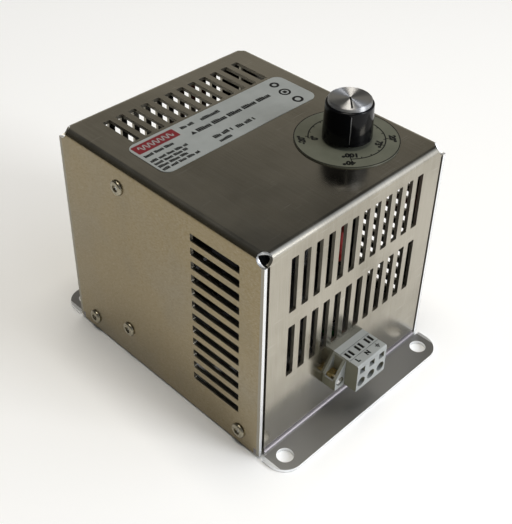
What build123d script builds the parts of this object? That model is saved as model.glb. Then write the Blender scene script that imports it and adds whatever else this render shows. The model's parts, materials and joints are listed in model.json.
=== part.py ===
from build123d import *
import os

os.makedirs("parts", exist_ok=True)

# A small fan heater for an electrical enclosure, in millimetres.
# The origin is the middle of the mounting face. +Z is up through the top panel,
# the front panel with the terminal block faces -Y, and +X is to its right.

# Cover, bent from one sheet
WIDTH = 101.6
DEPTH = 114.3
HEIGHT = 101.6
SHEET = 1.5
BEND = 3.0
FOOT = 14.2
FOOT_CORNER = 8.5
NECK = 1.6
CORNER_GAP = 1.3
SIDE_BOTTOM = 0.8
SIDE_CORNER = 2.5
RELIEF = 3.2
RELIEF_INSET = 1.2

HALF_W = WIDTH / 2
HALF_D = DEPTH / 2
INNER_X = HALF_W - SHEET
INNER_Y = HALF_D - SHEET
INNER_Z = HEIGHT - SHEET

# Air slots
SLOT = 3.6
SLOT_CORNER = 0.5
SLOT_LONG = 25.4
SLOT_SHORT = 19.05
SLOT_PITCH = 6.45
SLOT_COUNT = 12
UPPER_ROW_Z = 81.8
LOWER_ROW_Z = 49.2
SIDE_ROW_Y = -32.75
SIDE_ROW_Z = 54.9
TOP_ROW_X = 1.0
TOP_ROW_Y = 38.0

# Holes in the feet
FOOT_HOLE = 3.55
FOOT_HOLE_X = 43.0
FOOT_HOLE_Y = HALF_D + 6.9

# Rating label
LABEL_WIDE = 84.0
LABEL_DEEP = 24.0

# Inner sheet parts and the blind rivets that hold them
INNER_SHEET = 1.2
FLANGE_TOP = 13.5
RIVET_HOLE = 1.6
RIVET_HEAD = 3.3
BASE_RIVET_Y = 45.7
BASE_RIVET_Z = 7.35
BULKHEAD_RIVET_Y = 21.4
BULKHEAD_RIVET_Z = (16.3, 90.6)
RIVETS = [(y, BASE_RIVET_Z) for y in (-BASE_RIVET_Y, BASE_RIVET_Y)]
RIVETS += [(BULKHEAD_RIVET_Y, z) for z in BULKHEAD_RIVET_Z]

# Fan
FAN = 80.0
FAN_DEPTH = 25.0
FAN_Z = 50.0
FAN_FRONT = 2.0
FAN_BACK = FAN_FRONT + FAN_DEPTH
FAN_BORE = 38.0
FAN_HOLES = 35.75
BLADE_TIP = 36.8
BLADE_COUNT = 7
BLADE_ANGLE = 38.0
HUB = 17.5
HUB_BORE = 15.8
FAN_SHAFT = 1.5
BEARING_TUBE = 5.0
BEARING_SEAT = 3.4
BULKHEAD_BACK = FAN_BACK + INNER_SHEET

# Thermostat, dial and knob
DIAL_X = 25.7
DIAL_Y = -27.25
DIAL = 21.0
DIAL_TOP = HEIGHT + 0.5
BUSHING = 4.75
BUSHING_TOP = 106.0
SPINDLE = 3.175
SPINDLE_FLAT = 2.2
SPINDLE_FIT = 0.05
SPINDLE_TOP = 115.5
NUT_ACROSS = 12.7
KNOB_BOTTOM = DIAL_TOP + 1.5
KNOB_TOP = HEIGHT + 16.7
KNOB_FOOT = 10.0
KNOB_NECK = 9.5
KNOB_RECESS = 8.4
KNOB_RECESS_TOP = 106.9
CAP = 8.6
CAP_TOP = HEIGHT + 18.4
CAP_BEVEL = 0.45
POINTER = 0.7
POINTER_ANGLE = -135.0
THERMOSTAT = 14.5
THERMOSTAT_TOP = INNER_Z - 1.0
THERMOSTAT_SPLIT = 86.0
THERMOSTAT_BOTTOM = 79.0
PLUNGER = 1.5

# Terminal block
POLES = 3
POLE_PITCH = 6.0
BLOCK_HALF = POLES * POLE_PITCH / 2
BLOCK_BOTTOM = 16.5
BLOCK_TOP = 30.5
BLOCK_FRONT = -HALF_D - 12.9
EAR_END = 14.7
EAR_FRONT = -HALF_D - 6.7
EAR_SCREW = 1.5
EAR_SCREW_X = 11.8
EAR_SCREW_Z = 20.0
EAR_BACK = -HALF_D - 1.0
EAR_TROUGH_FRONT = EAR_FRONT + 1.3
BLOCK_CAVITY = (17.8, 24.6)
TOOL_HOLE_Z = (25.2, 28.3)
TOOL_HOLE = 1.6
WIRE_HOLE = 2.25
WIRE_HOLE_Z = 20.4
SLIT = 1.25
SLIT_Y = (-HALF_D - 7.3, -HALF_D - 3.9)
TOP_GROOVES = (-HALF_D - 8.3, -HALF_D - 3.3)
POLE_X = [(i - 1) * POLE_PITCH for i in range(POLES)]
WIRE_Z = 22.0

# Heating element
HEATER_Y = (34.0, 46.0)
HEATER_HALF = 31.0
HEATER_TUBE = 5.0
HEATER_TUBE_Z = (27.0, 47.0, 67.0)
FIN_COUNT = 19
FIN_FOLD = 3.6
TAB_X = 34.0
HEATER_MID_Y = sum(HEATER_Y) / 2
END_BLOCK_X = (HEATER_HALF, 37.0)
END_BLOCK_TOP = 72.0
HEATER_TAB_TOP = 79.0
BRACKET_SCREW = 1.3
BRACKET_SCREW_X = 42.5
BRACKET_SCREW_RISE = 5.0

# Wiring
WIRE = 1.2
GROMMET_X = 44.2
GROMMET_Z = {1: 66.0, -1: 30.0}
TAB_WIDE = 6.3
TAB_THICK = 0.8
THERMOSTAT_TAB_X = 15.2
THERMOSTAT_TAB_Y = (-37.15, -20.0)
THERMOSTAT_TAB_END = 71.0
GROUND = (24.0, -30.0)

SIDES = (-1, 1)


def save(name, shape):
    """Write one node's solids to its own file."""
    export_step(shape, f"parts/{name}.step")


def block(x, y, z):
    """A box between pairs of limits along each axis."""
    middle = Pos((x[0] + x[1]) / 2, (y[0] + y[1]) / 2, (z[0] + z[1]) / 2)
    return middle * Box(abs(x[1] - x[0]), abs(y[1] - y[0]), abs(z[1] - z[0]))


def rod(start, end, radius):
    """A round bar between two points."""
    path = Vector(*end) - Vector(*start)
    plane = Plane(origin=start, z_dir=path)
    low = (Align.CENTER, Align.CENTER, Align.MIN)
    return plane * Cylinder(radius, path.length, align=low)


def ring(start, end, outer, inner):
    """A plain tube between two points."""
    return rod(start, end, outer) - rod(start, end, inner)


def hexagon(start, end, across):
    """A hexagonal bar between two points, by its width across flats."""
    path = Vector(*end) - Vector(*start)
    plane = Plane(origin=start, z_dir=path)
    outline = plane * RegularPolygon(across / 2, 6, major_radius=False)
    return extrude(outline, amount=path.length)


def around_fan(shape, count, first=0.0):
    """Copies of a shape turned about the fan's axis."""
    turn = 360 / count
    centre = Pos(0, 0, FAN_Z)
    return [centre * Rot(0, first + i * turn, 0) * centre.inverse() * shape for i in range(count)]


def all_of(shapes):
    """Several separate solids as one node."""
    return Compound(children=list(shapes))


# Housing

def slot_row(plane, length):
    """Cutters for one row of slots, spaced along the plane's x direction."""
    places = GridLocations(SLOT_PITCH, 0, SLOT_COUNT, 1)
    outline = Sketch() + [place * RectangleRounded(SLOT, length, SLOT_CORNER) for place in places]
    return extrude(plane * outline, amount=2 * SHEET, both=True)


def bent_shell():
    """Top and four walls, with round bends along the top."""
    outer = block((-HALF_W, HALF_W), (-HALF_D, HALF_D), (0, HEIGHT))
    outer = fillet(outer.edges().group_by(Axis.Z)[-1], BEND)
    inner = block((-INNER_X, INNER_X), (-INNER_Y, INNER_Y), (-SHEET, INNER_Z))
    inner = fillet(inner.edges().group_by(Axis.Z)[-1], BEND - SHEET)
    return outer - inner


def corner_cuts():
    """Gaps beside the front and back panels, and the round reliefs above them."""
    cuts = []
    for side in SIDES:
        for end in SIDES:
            gap_x = (side * INNER_X, side * (INNER_X - CORNER_GAP))
            gap_y = (end * (INNER_Y - 0.5), end * (HALF_D + 1))
            cuts.append(block(gap_x, gap_y, (-1, HEIGHT - BEND - RELIEF_INSET)))
            corner_x = side * (HALF_W - RELIEF_INSET)
            corner_y = end * (HALF_D - RELIEF_INSET)
            cuts.append(Pos(corner_x, corner_y, HEIGHT - RELIEF_INSET) * Sphere(RELIEF))
        trim_x = (side * (INNER_X - CORNER_GAP), side * (HALF_W + 1))
        cuts.append(block(trim_x, (-HALF_D - 1, HALF_D + 1), (-1, SIDE_BOTTOM)))
    return cuts


def foot(end):
    """One mounting foot with its neck, without the bends."""
    plate_y = (end * (HALF_D + NECK), end * (HALF_D + FOOT))
    plate = block((-HALF_W, HALF_W), plate_y, (0, SHEET))
    corners = plate.edges().filter_by(Axis.Z).sort_by(Axis.Y)
    plate = fillet(corners[-2:] if end > 0 else corners[:2], FOOT_CORNER)
    neck_x = INNER_X - CORNER_GAP
    neck = block((-neck_x, neck_x), (end * INNER_Y, end * (HALF_D + NECK)), (0, SHEET))
    return plate + neck


def edges_along_x(shape, y, z, middle=0.0):
    """The shape's edges along X at a height and a depth, nearest to a place along X."""
    found = [e for e in shape.edges().filter_by(Axis.X)
             if abs(e.center().Y - y) < 0.01 and abs(e.center().Z - z) < 0.01
             and abs(e.center().X - middle) < 1]
    return found


def vent_cutters():
    """All air slots: front, back, both sides and top."""
    cutters = []
    for end in SIDES:
        for row in (UPPER_ROW_Z, LOWER_ROW_Z):
            panel = Plane(origin=(0, end * HALF_D, row), x_dir=(1, 0, 0), z_dir=(0, end, 0))
            cutters.append(slot_row(panel, SLOT_LONG))
    for side in SIDES:
        panel = Plane(origin=(side * HALF_W, SIDE_ROW_Y, SIDE_ROW_Z), x_dir=(0, 0, 1), z_dir=(side, 0, 0))
        cutters.append(slot_row(panel, SLOT_LONG))
    top = Plane(origin=(TOP_ROW_X, TOP_ROW_Y, HEIGHT))
    cutters.append(slot_row(top, SLOT_SHORT))
    return cutters


def housing_cover():
    """The one-piece cover: top, front, back, both sides and two feet."""
    cover = bent_shell()
    cover -= corner_cuts()
    for end in SIDES:
        cover += foot(end)
        cover = fillet(edges_along_x(cover, end * HALF_D, SHEET), BEND - SHEET)
        cover = fillet(edges_along_x(cover, end * INNER_Y, 0), BEND - 0.05)
    for side in SIDES:
        middle = side * (HALF_W - SHEET / 2)
        cover = fillet(edges_along_x(cover, HALF_D, SIDE_BOTTOM, middle), SIDE_CORNER)
    cover -= vent_cutters()
    front = (-HALF_D - 1, -INNER_Y + 1)
    holes = [block((-8.2, 8.2), front, (18.5, 28.5))]
    holes.append(rod((DIAL_X, DIAL_Y, INNER_Z - 1), (DIAL_X, DIAL_Y, HEIGHT + 1), BUSHING + 0.15))
    for side in SIDES:
        x = side * EAR_SCREW_X
        holes.append(rod((x, front[0], EAR_SCREW_Z), (x, front[1], EAR_SCREW_Z), 1.7))
        for end in SIDES:
            place = (side * FOOT_HOLE_X, end * FOOT_HOLE_Y)
            holes.append(rod((*place, -1), (*place, SHEET + 1), FOOT_HOLE))
        for y, z in RIVETS:
            holes.append(rod((side * (INNER_X - 1), y, z), (side * (HALF_W + 1), y, z), RIVET_HOLE))
    cover -= holes
    return cover


def base_plate():
    """Floor between the side panels, with an upturned flange on each side."""
    floor_z = (SIDE_BOTTOM, SIDE_BOTTOM + INNER_SHEET)
    plate = block((-INNER_X, INNER_X), (-55.2, 55.2), floor_z)
    for side in SIDES:
        flange_x = (side * (INNER_X - INNER_SHEET), side * INNER_X)
        plate += block(flange_x, (-53.0, 53.0), (SIDE_BOTTOM, FLANGE_TOP))
    holes = [rod((*GROUND, 0), (*GROUND, 4), 2.0)]
    for side in SIDES:
        for y, z in RIVETS[:2]:
            holes.append(rod((side * 45, y, z), (side * 51, y, z), RIVET_HOLE))
    return plate - holes


def fan_bulkhead():
    """Cross wall that carries the fan and the heating element."""
    narrow = INNER_X - INNER_SHEET - 0.3
    wall = block((-narrow, narrow), (FAN_BACK, BULKHEAD_BACK), (2.6, 14.0))
    wall += block((-INNER_X, INNER_X), (FAN_BACK, BULKHEAD_BACK), (14.0, 98.5))
    for side in SIDES:
        flange_x = (side * (INNER_X - INNER_SHEET), side * INNER_X)
        wall += block(flange_x, (15.4, BULKHEAD_BACK), (14.0, 97.0))
    front, back = FAN_BACK - 1, BULKHEAD_BACK + 1
    holes = [rod((0, front, FAN_Z), (0, back, FAN_Z), FAN_BORE)]
    for side in SIDES:
        for level in SIDES:
            x, z = side * FAN_HOLES, FAN_Z + level * FAN_HOLES
            holes.append(rod((x, front, z), (x, back, z), 2.15))
            x, z = side * 42.5, HEATER_TUBE_Z[1] + level * 5
            holes.append(rod((x, front, z), (x, back, z), 1.3))
        x, z = side * GROMMET_X, GROMMET_Z[side]
        holes.append(rod((x, front, z), (x, back, z), 2.6))
        for y, z in RIVETS[2:]:
            holes.append(rod((side * 45, y, z), (side * 51, y, z), RIVET_HOLE))
    return wall - holes


def blind_rivet(side, y, z):
    """A domed blind rivet and the broken-off stub of its mandrel."""
    head_face = side * HALF_W
    dome_top = side * (HALF_W + 1.1)
    back_face = side * (INNER_X - INNER_SHEET)
    head = rod((head_face, y, z), (dome_top, y, z), RIVET_HEAD)
    outer_rim = head.edges().filter_by(GeomType.CIRCLE).sort_by(Axis.X)
    head = fillet(outer_rim[-1] if side > 0 else outer_rim[0], 0.9)
    body = head + rod((back_face, y, z), (head_face, y, z), RIVET_HOLE)
    body += rod((side * 45.6, y, z), (back_face, y, z), 2.4)
    bore_end = side * (HALF_W + 2)
    body -= rod((side * 45, y, z), (bore_end, y, z), 0.9)
    body -= rod((side * (HALF_W + 0.6), y, z), (bore_end, y, z), 1.5)
    stub = rod((side * 45.6, y, z), (side * (HALF_W + 0.45), y, z), 0.9)
    stub += rod((side * 44.4, y, z), (side * 45.6, y, z), 1.5)
    return body, stub


def rating_label():
    """Adhesive label on the top panel."""
    outline = Pos(0.4, 14.7, HEIGHT) * RectangleRounded(LABEL_WIDE, LABEL_DEEP, 4.0)
    return extrude(outline, amount=0.2)


# Thermostat

def dial_plate():
    """Round scale plate held under the thermostat's nut."""
    return ring((DIAL_X, DIAL_Y, HEIGHT), (DIAL_X, DIAL_Y, DIAL_TOP), DIAL, BUSHING)


def thermostat_bracket():
    """Strap over the thermostat, clamped under the top panel."""
    strap_z = (THERMOSTAT_TOP, INNER_Z)
    strap = block((DIAL_X - 15.5, DIAL_X + 15.5), (DIAL_Y - 12, DIAL_Y + 12), strap_z)
    for side in SIDES:
        leg_x = (DIAL_X + side * THERMOSTAT, DIAL_X + side * 15.5)
        strap += block(leg_x, (DIAL_Y - 5, DIAL_Y + 5), (84.0, INNER_Z))
    return strap - rod((DIAL_X, DIAL_Y, 98), (DIAL_X, DIAL_Y, 102), BUSHING)


def thermostat_housing():
    """Upper half of the thermostat, hollow round the cam."""
    limits_x = (DIAL_X - THERMOSTAT, DIAL_X + THERMOSTAT)
    limits_y = (DIAL_Y - THERMOSTAT, DIAL_Y + THERMOSTAT)
    shell = block(limits_x, limits_y, (THERMOSTAT_SPLIT, THERMOSTAT_TOP))
    shell -= rod((DIAL_X, DIAL_Y, THERMOSTAT_SPLIT), (DIAL_X, DIAL_Y, 96.1), 11.0)
    return shell - rod((DIAL_X, DIAL_Y, 95), (DIAL_X, DIAL_Y, 101), SPINDLE + 0.4)


def thermostat_base():
    """Lower half of the thermostat, which guides the plunger."""
    limits_x = (DIAL_X - THERMOSTAT, DIAL_X + THERMOSTAT)
    limits_y = (DIAL_Y - THERMOSTAT, DIAL_Y + THERMOSTAT)
    slab = block(limits_x, limits_y, (THERMOSTAT_BOTTOM, THERMOSTAT_SPLIT))
    return slab - rod((DIAL_X, DIAL_Y, 78), (DIAL_X, DIAL_Y, 87), PLUNGER + SPINDLE_FIT)


def thermostat_bushing():
    """Threaded sleeve that passes the top panel and the dial plate."""
    ends = ((DIAL_X, DIAL_Y, THERMOSTAT_TOP), (DIAL_X, DIAL_Y, BUSHING_TOP))
    return ring(*ends, BUSHING, SPINDLE + SPINDLE_FIT)


def thermostat_nut():
    """Thin nut on top of the dial plate."""
    top = (DIAL_X, DIAL_Y, DIAL_TOP + 2.4)
    return hexagon((DIAL_X, DIAL_Y, DIAL_TOP), top, NUT_ACROSS) - rod((DIAL_X, DIAL_Y, 100), top, BUSHING)


def thermostat_spindle():
    """Adjusting spindle with a flat for the knob and a cam inside the thermostat."""
    spindle = rod((DIAL_X, DIAL_Y, 93.5), (DIAL_X, DIAL_Y, SPINDLE_TOP), SPINDLE)
    flat = block((SPINDLE_FLAT, 2 * SPINDLE), (-4, 4), (KNOB_RECESS_TOP, SPINDLE_TOP + 1))
    spindle -= Pos(DIAL_X, DIAL_Y, 0) * flat
    return spindle + rod((DIAL_X, DIAL_Y, 91.0), (DIAL_X, DIAL_Y, 93.5), 6.0)


def thermostat_plunger():
    """Pin that the cam lets down on to the bimetal blade."""
    return rod((DIAL_X, DIAL_Y, 76.6), (DIAL_X, DIAL_Y, 90.6), PLUNGER)


def thermostat_bimetal():
    """Bimetal blade under the plunger, hung on a post from the base."""
    blade = block((DIAL_X - 3, DIAL_X + 3), (DIAL_Y - 5, DIAL_Y + 13), (74.6, 75.4))
    post = block((DIAL_X - 3, DIAL_X + 3), (DIAL_Y + 9, DIAL_Y + 13), (75.4, THERMOSTAT_BOTTOM))
    return blade + post


def tab(x, y, z):
    """A flat push-on terminal standing along Z."""
    return block((x - TAB_THICK / 2, x + TAB_THICK / 2), (y - TAB_WIDE / 2, y + TAB_WIDE / 2), z)


def push_on_connector(x, y, z):
    """Insulated sleeve that slides over a tab."""
    sleeve = block((x - 1.6, x + 1.6), (y - 3.9, y + 3.9), z)
    return fillet(sleeve.edges().filter_by(Axis.Z), 0.8)


# Knob

def on_dial(shape):
    """Place a shape made about the Z axis on the dial's axis."""
    return Pos(DIAL_X, DIAL_Y, 0) * shape


def knob_body():
    """Tapered control knob, hollow below over the nut."""
    height = KNOB_TOP - KNOB_BOTTOM
    low = (Align.CENTER, Align.CENTER, Align.MIN)
    knob = Pos(0, 0, KNOB_BOTTOM) * Cone(KNOB_FOOT, KNOB_NECK, height, align=low)
    knob = fillet(knob.edges().group_by(Axis.Z)[0], 0.4)
    knob = fillet(knob.edges().group_by(Axis.Z)[-1], 0.6)
    knob -= rod((0, 0, KNOB_BOTTOM - 1), (0, 0, KNOB_RECESS_TOP), KNOB_RECESS)
    bore = rod((0, 0, KNOB_RECESS_TOP), (0, 0, SPINDLE_TOP), SPINDLE)
    bore -= block((SPINDLE_FLAT, 2 * SPINDLE), (-4, 4), (KNOB_RECESS_TOP - 1, SPINDLE_TOP + 1))
    groove = block((KNOB_FOOT - 0.7, KNOB_FOOT + 1), (-0.35, 0.35), (KNOB_BOTTOM - 1, KNOB_TOP - 1.2))
    screw_way = rod((SPINDLE_FLAT, 0, 111.0), (12, 0, 111.0), 1.5)
    knob = knob - bore - Rot(0, 0, POINTER_ANGLE) * groove - screw_way
    return on_dial(knob)


def knob_cap():
    """Turned disc set on the knob, with a bevelled rim."""
    cap = rod((0, 0, KNOB_TOP), (0, 0, CAP_TOP), CAP)
    cap = chamfer(cap.edges().group_by(Axis.Z)[-1], CAP_BEVEL)
    return on_dial(cap)


def knob_pointer():
    """Line from the middle of the cap to its rim."""
    line = block((-0.4, CAP - CAP_BEVEL), (-POINTER / 2, POINTER / 2), (CAP_TOP, CAP_TOP + 0.1))
    return on_dial(Rot(0, 0, POINTER_ANGLE) * line)


def knob_set_screw():
    """Socket screw that grips the spindle's flat."""
    screw = rod((SPINDLE_FLAT, 0, 111.0), (8.2, 0, 111.0), 1.5)
    return on_dial(screw - hexagon((6.2, 0, 111.0), (9, 0, 111.0), 1.5))


# Terminal block

def terminal_block_body():
    """Three-pole block with an open ear on each side for its screws."""
    body = block((-BLOCK_HALF, BLOCK_HALF), (BLOCK_FRONT, -HALF_D), (BLOCK_BOTTOM, BLOCK_TOP))
    body = chamfer(body.edges().filter_by(Axis.X).group_by(Axis.Y)[0].sort_by(Axis.Z)[-1], 0.5)
    for side in SIDES:
        outline = Polyline((side * BLOCK_HALF, BLOCK_BOTTOM), (side * EAR_END, BLOCK_BOTTOM),
                           (side * EAR_END, 22.3), (side * BLOCK_HALF, BLOCK_TOP - 0.2), close=True)
        face = make_face(Plane(origin=(0, -HALF_D, 0), x_dir=(1, 0, 0), z_dir=(0, -1, 0)) * outline)
        body += extrude(face, amount=-HALF_D - EAR_FRONT, dir=(0, -1, 0))
        trough_y = (EAR_BACK, EAR_TROUGH_FRONT)
        trough_x = (side * (BLOCK_HALF + 0.4), side * (EAR_END - 0.8))
        body -= block(trough_x, trough_y, (BLOCK_BOTTOM + 1.0, BLOCK_TOP + 1))
        body -= block((side * (EAR_END - 1), side * (EAR_END + 1)), trough_y, (21.0, 24.0))
        x = side * EAR_SCREW_X
        body -= rod((x, EAR_FRONT - 1, EAR_SCREW_Z), (x, EAR_BACK - 1, EAR_SCREW_Z), 2.1)
        body -= rod((x, EAR_BACK - 1, EAR_SCREW_Z), (x, -HALF_D + 1, EAR_SCREW_Z), EAR_SCREW)
    for x in POLE_X:
        body -= block((x - TOOL_HOLE, x + TOOL_HOLE), (BLOCK_FRONT - 1, BLOCK_FRONT + 6), TOOL_HOLE_Z)
        body -= rod((x, BLOCK_FRONT - 1, WIRE_HOLE_Z), (x, BLOCK_FRONT + 5, WIRE_HOLE_Z), WIRE_HOLE)
        body -= block((x - 2.2, x + 2.2), (BLOCK_FRONT + 3.4, -HALF_D + 1), BLOCK_CAVITY)
        for offset in (-1.1, 1.1):
            slit_x = (x + offset - SLIT / 2, x + offset + SLIT / 2)
            body -= block(slit_x, SLIT_Y, (BLOCK_TOP - 1.5, BLOCK_TOP + 1))
    for y in TOP_GROOVES:
        body -= block((-EAR_END, EAR_END), (y - 0.2, y + 0.2), (BLOCK_TOP - 0.4, BLOCK_TOP + 1))
    return body


def terminal_clamp(x):
    """Cage clamp inside one pole."""
    back, front = -HALF_D - 1.0, -HALF_D - 8.8
    cage = block((x - 2.0, x + 2.0), (front, back), (18.2, 24.2))
    cage -= block((x - 1.5, x + 1.5), (front - 1, back + 1), (18.8, 23.6))
    return cage


def ear_screw(side):
    """Screw from inside the housing through one ear."""
    x = side * EAR_SCREW_X
    head = rod((x, -INNER_Y, EAR_SCREW_Z), (x, -INNER_Y + 2.2, EAR_SCREW_Z), 2.8)
    screw = head + rod((x, EAR_FRONT + 0.4, EAR_SCREW_Z), (x, -INNER_Y, EAR_SCREW_Z), EAR_SCREW)
    slot_z = (EAR_SCREW_Z - 0.4, EAR_SCREW_Z + 0.4)
    return screw - block((x - 2.2, x + 2.2), (-INNER_Y + 1.4, -INNER_Y + 3), slot_z)


def ear_nut(side):
    """Square nut held in the trough of one ear."""
    x = side * EAR_SCREW_X
    y = (-HALF_D - 3.6, -HALF_D - 1.0)
    nut = block((x - 2.0, x + 2.0), y, (EAR_SCREW_Z - 2.4, EAR_SCREW_Z + 2.4))
    return nut - rod((x, y[0] - 1, EAR_SCREW_Z), (x, y[1] + 1, EAR_SCREW_Z), 1.5)


# Fan

def fan_frame():
    """Square fan frame with its hub plate, struts and bearing tube."""
    half = FAN / 2
    frame = block((-half, half), (FAN_FRONT, FAN_BACK), (FAN_Z - half, FAN_Z + half))
    frame = fillet(frame.edges().filter_by(Axis.Y), 4.5)
    frame -= rod((0, FAN_FRONT - 1, FAN_Z), (0, FAN_BACK + 1, FAN_Z), FAN_BORE)
    for side in SIDES:
        for level in SIDES:
            x, z = side * FAN_HOLES, FAN_Z + level * FAN_HOLES
            frame -= rod((x, FAN_FRONT - 1, z), (x, FAN_BACK + 1, z), 2.15)
    hub = rod((0, 23.8, FAN_Z), (0, 26.5, FAN_Z), 16.5)
    hub += ring((0, 9.0, FAN_Z), (0, 23.8, FAN_Z), BEARING_TUBE, BEARING_SEAT)
    strut = block((15.5, FAN_BORE + 0.5), (24.0, 26.5), (FAN_Z - 2, FAN_Z + 2))
    for piece in around_fan(strut, 4, 45.0):
        hub += piece
    return frame + hub


def fan_bearing(y):
    """Sleeve bearing pressed in the bearing tube."""
    return ring((0, y, FAN_Z), (0, y + 3, FAN_Z), BEARING_SEAT, FAN_SHAFT + SPINDLE_FIT)


def fan_stator():
    """Four-pole iron stack on the bearing tube."""
    stack = ring((0, 11.0, FAN_Z), (0, 20.0, FAN_Z), 12.4, BEARING_TUBE)
    window = rod((8.8, 10, FAN_Z), (8.8, 21, FAN_Z), 2.6)
    mouth = block((8.8, 14), (10, 21), (FAN_Z - 0.6, FAN_Z + 0.6))
    for cut in around_fan(window + mouth, 4, 45.0):
        stack -= cut
    return stack


def fan_winding(y):
    """End turns of the winding on one face of the stack."""
    return ring((0, y, FAN_Z), (0, y + 1.9, FAN_Z), 11.5, BEARING_TUBE + 0.2)


def fan_impeller():
    """Hub cup with its blades."""
    blade = Pos(27.0, 13.6, FAN_Z) * Rot(BLADE_ANGLE, 0, 0) * Box(21.0, 20.0, 1.4)
    limit = rod((0, 5.0, FAN_Z), (0, 22.3, FAN_Z), BLADE_TIP)
    hub = rod((0, 4.5, FAN_Z), (0, 22.5, FAN_Z), HUB)
    hub = fillet(hub.edges().filter_by(GeomType.CIRCLE).sort_by(Axis.Y)[0], 1.0)
    for piece in around_fan(blade, BLADE_COUNT):
        hub += piece & limit
    hub -= rod((0, 6.5, FAN_Z), (0, 23.5, FAN_Z), HUB_BORE)
    hub += rod((0, 6.5, FAN_Z), (0, 8.2, FAN_Z), 3.0)
    return hub - rod((0, 5.5, FAN_Z), (0, 9, FAN_Z), FAN_SHAFT)


def fan_screw(side, level):
    """Screw through the bulkhead and one corner of the fan."""
    x, z = side * FAN_HOLES, FAN_Z + level * FAN_HOLES
    screw = rod((x, BULKHEAD_BACK, z), (x, BULKHEAD_BACK + 2.4, z), 3.8)
    screw += rod((x, -2.2, z), (x, BULKHEAD_BACK, z), 1.95)
    return screw - block((x - 3, x + 3), (BULKHEAD_BACK + 1.4, BULKHEAD_BACK + 3), (z - 0.5, z + 0.5))


def fan_nut(side, level):
    """Nut on the front of one corner of the fan."""
    x, z = side * FAN_HOLES, FAN_Z + level * FAN_HOLES
    nut = hexagon((x, FAN_FRONT - 3.2, z), (x, FAN_FRONT, z), 7.0)
    return nut - rod((x, -3, z), (x, 3, z), 1.95)


# Heating element

def heater_tube(z):
    """Flat tube that holds the heating elements."""
    return block((-HEATER_HALF, HEATER_HALF), HEATER_Y, (z - HEATER_TUBE / 2, z + HEATER_TUBE / 2))


def heater_fin_row(low, high):
    """Corrugated fin strip between two tubes."""
    step = (HEATER_HALF - 1) / FIN_COUNT
    crests = [(i * step - HEATER_HALF + 1, i % 2) for i in range(2 * FIN_COUNT + 1)]
    upper = [(x, low + FIN_FOLD if down else high) for x, down in crests]
    lower = [(x, low if down else high - FIN_FOLD) for x, down in reversed(crests)]
    outline = Polyline(*upper, *lower, close=True)
    plane = Plane(origin=(0, HEATER_Y[0] + 0.5, 0), x_dir=(1, 0, 0), z_dir=(0, -1, 0))
    return extrude(make_face(plane * outline), amount=HEATER_Y[1] - HEATER_Y[0] - 1, dir=(0, 1, 0))


def heater_end_block(side):
    """Insulating block on one end of the tubes."""
    limits_x = (side * END_BLOCK_X[0], side * END_BLOCK_X[1])
    body = block(limits_x, (HEATER_Y[0] - 1, HEATER_Y[1] + 1), (22.0, END_BLOCK_TOP))
    return fillet(body.edges().filter_by(Axis.X), 1.0)


def heater_bracket(side):
    """Angle that holds one end block to the bulkhead."""
    limits_z = (HEATER_TUBE_Z[1] - 10, HEATER_TUBE_Z[1] + 10)
    seat = BULKHEAD_BACK + INNER_SHEET
    arm_x = (side * END_BLOCK_X[1], side * (END_BLOCK_X[1] + INNER_SHEET))
    bracket = block(arm_x, (BULKHEAD_BACK, HEATER_Y[1]), limits_z)
    bracket += block((side * END_BLOCK_X[1], side * 47.0), (BULKHEAD_BACK, seat), limits_z)
    x = side * BRACKET_SCREW_X
    for level in SIDES:
        z = HEATER_TUBE_Z[1] + level * BRACKET_SCREW_RISE
        bracket -= rod((x, BULKHEAD_BACK - 1, z), (x, seat + 1, z), BRACKET_SCREW)
    return bracket


def heater_screw(side, level):
    """Screw that holds a bracket to the bulkhead."""
    x, z = side * BRACKET_SCREW_X, HEATER_TUBE_Z[1] + level * BRACKET_SCREW_RISE
    seat = BULKHEAD_BACK + INNER_SHEET
    screw = rod((x, seat, z), (x, seat + 1.6, z), 2.3)
    screw += rod((x, FAN_BACK - 2.5, z), (x, seat, z), BRACKET_SCREW)
    return screw - block((x - 1.8, x + 1.8), (seat + 0.9, seat + 2), (z - 0.35, z + 0.35))


# Wiring

def wire(points, radii):
    """Insulated wire along straight runs joined by round bends."""
    path = FilletPolyline(*points, radius=radii)
    section = Plane(origin=path @ 0, z_dir=path % 0) * Circle(WIRE)
    return sweep(section, path=path)


def wire_red():
    """From the thermostat past the fan to the heating element."""
    x, y = THERMOSTAT_TAB_X, THERMOSTAT_TAB_Y[0]
    z = GROMMET_Z[1]
    points = [(x, y, 68.0), (x, y, 47.0), (GROMMET_X, -18.0, 52.0), (GROMMET_X, 6.0, z),
              (GROMMET_X, 36.0, z), (GROMMET_X, 42.0, 88.0), (TAB_X, 40.0, 91.5), (TAB_X, 40.0, 81.0)]
    return wire(points, [8, 10, 12, 6, 4.5, 4.5])


def wire_white():
    """From the middle pole along the floor to the heating element."""
    z = GROMMET_Z[-1]
    points = [(0, -58.0, WIRE_Z), (0, -44.0, WIRE_Z), (-20.0, -34.0, 9.0), (-GROMMET_X, -14.0, 14.0),
              (-GROMMET_X, 6.0, z), (-GROMMET_X, 38.0, z), (-GROMMET_X, 42.0, 84.0),
              (-TAB_X, 40.0, 91.5), (-TAB_X, 40.0, 81.0)]
    return wire(points, [8, 10, 10, 10, 6, 4.5, 4.5])


def wire_black():
    """From the first pole up to the thermostat."""
    x, y = THERMOSTAT_TAB_X, THERMOSTAT_TAB_Y[1]
    points = [(POLE_X[0], -58.0, WIRE_Z), (POLE_X[0], -42.0, WIRE_Z), (2.0, -26.0, 42.0),
              (x, y, 50.0), (x, y, 68.0)]
    return wire(points, [8, 12, 7])


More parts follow.
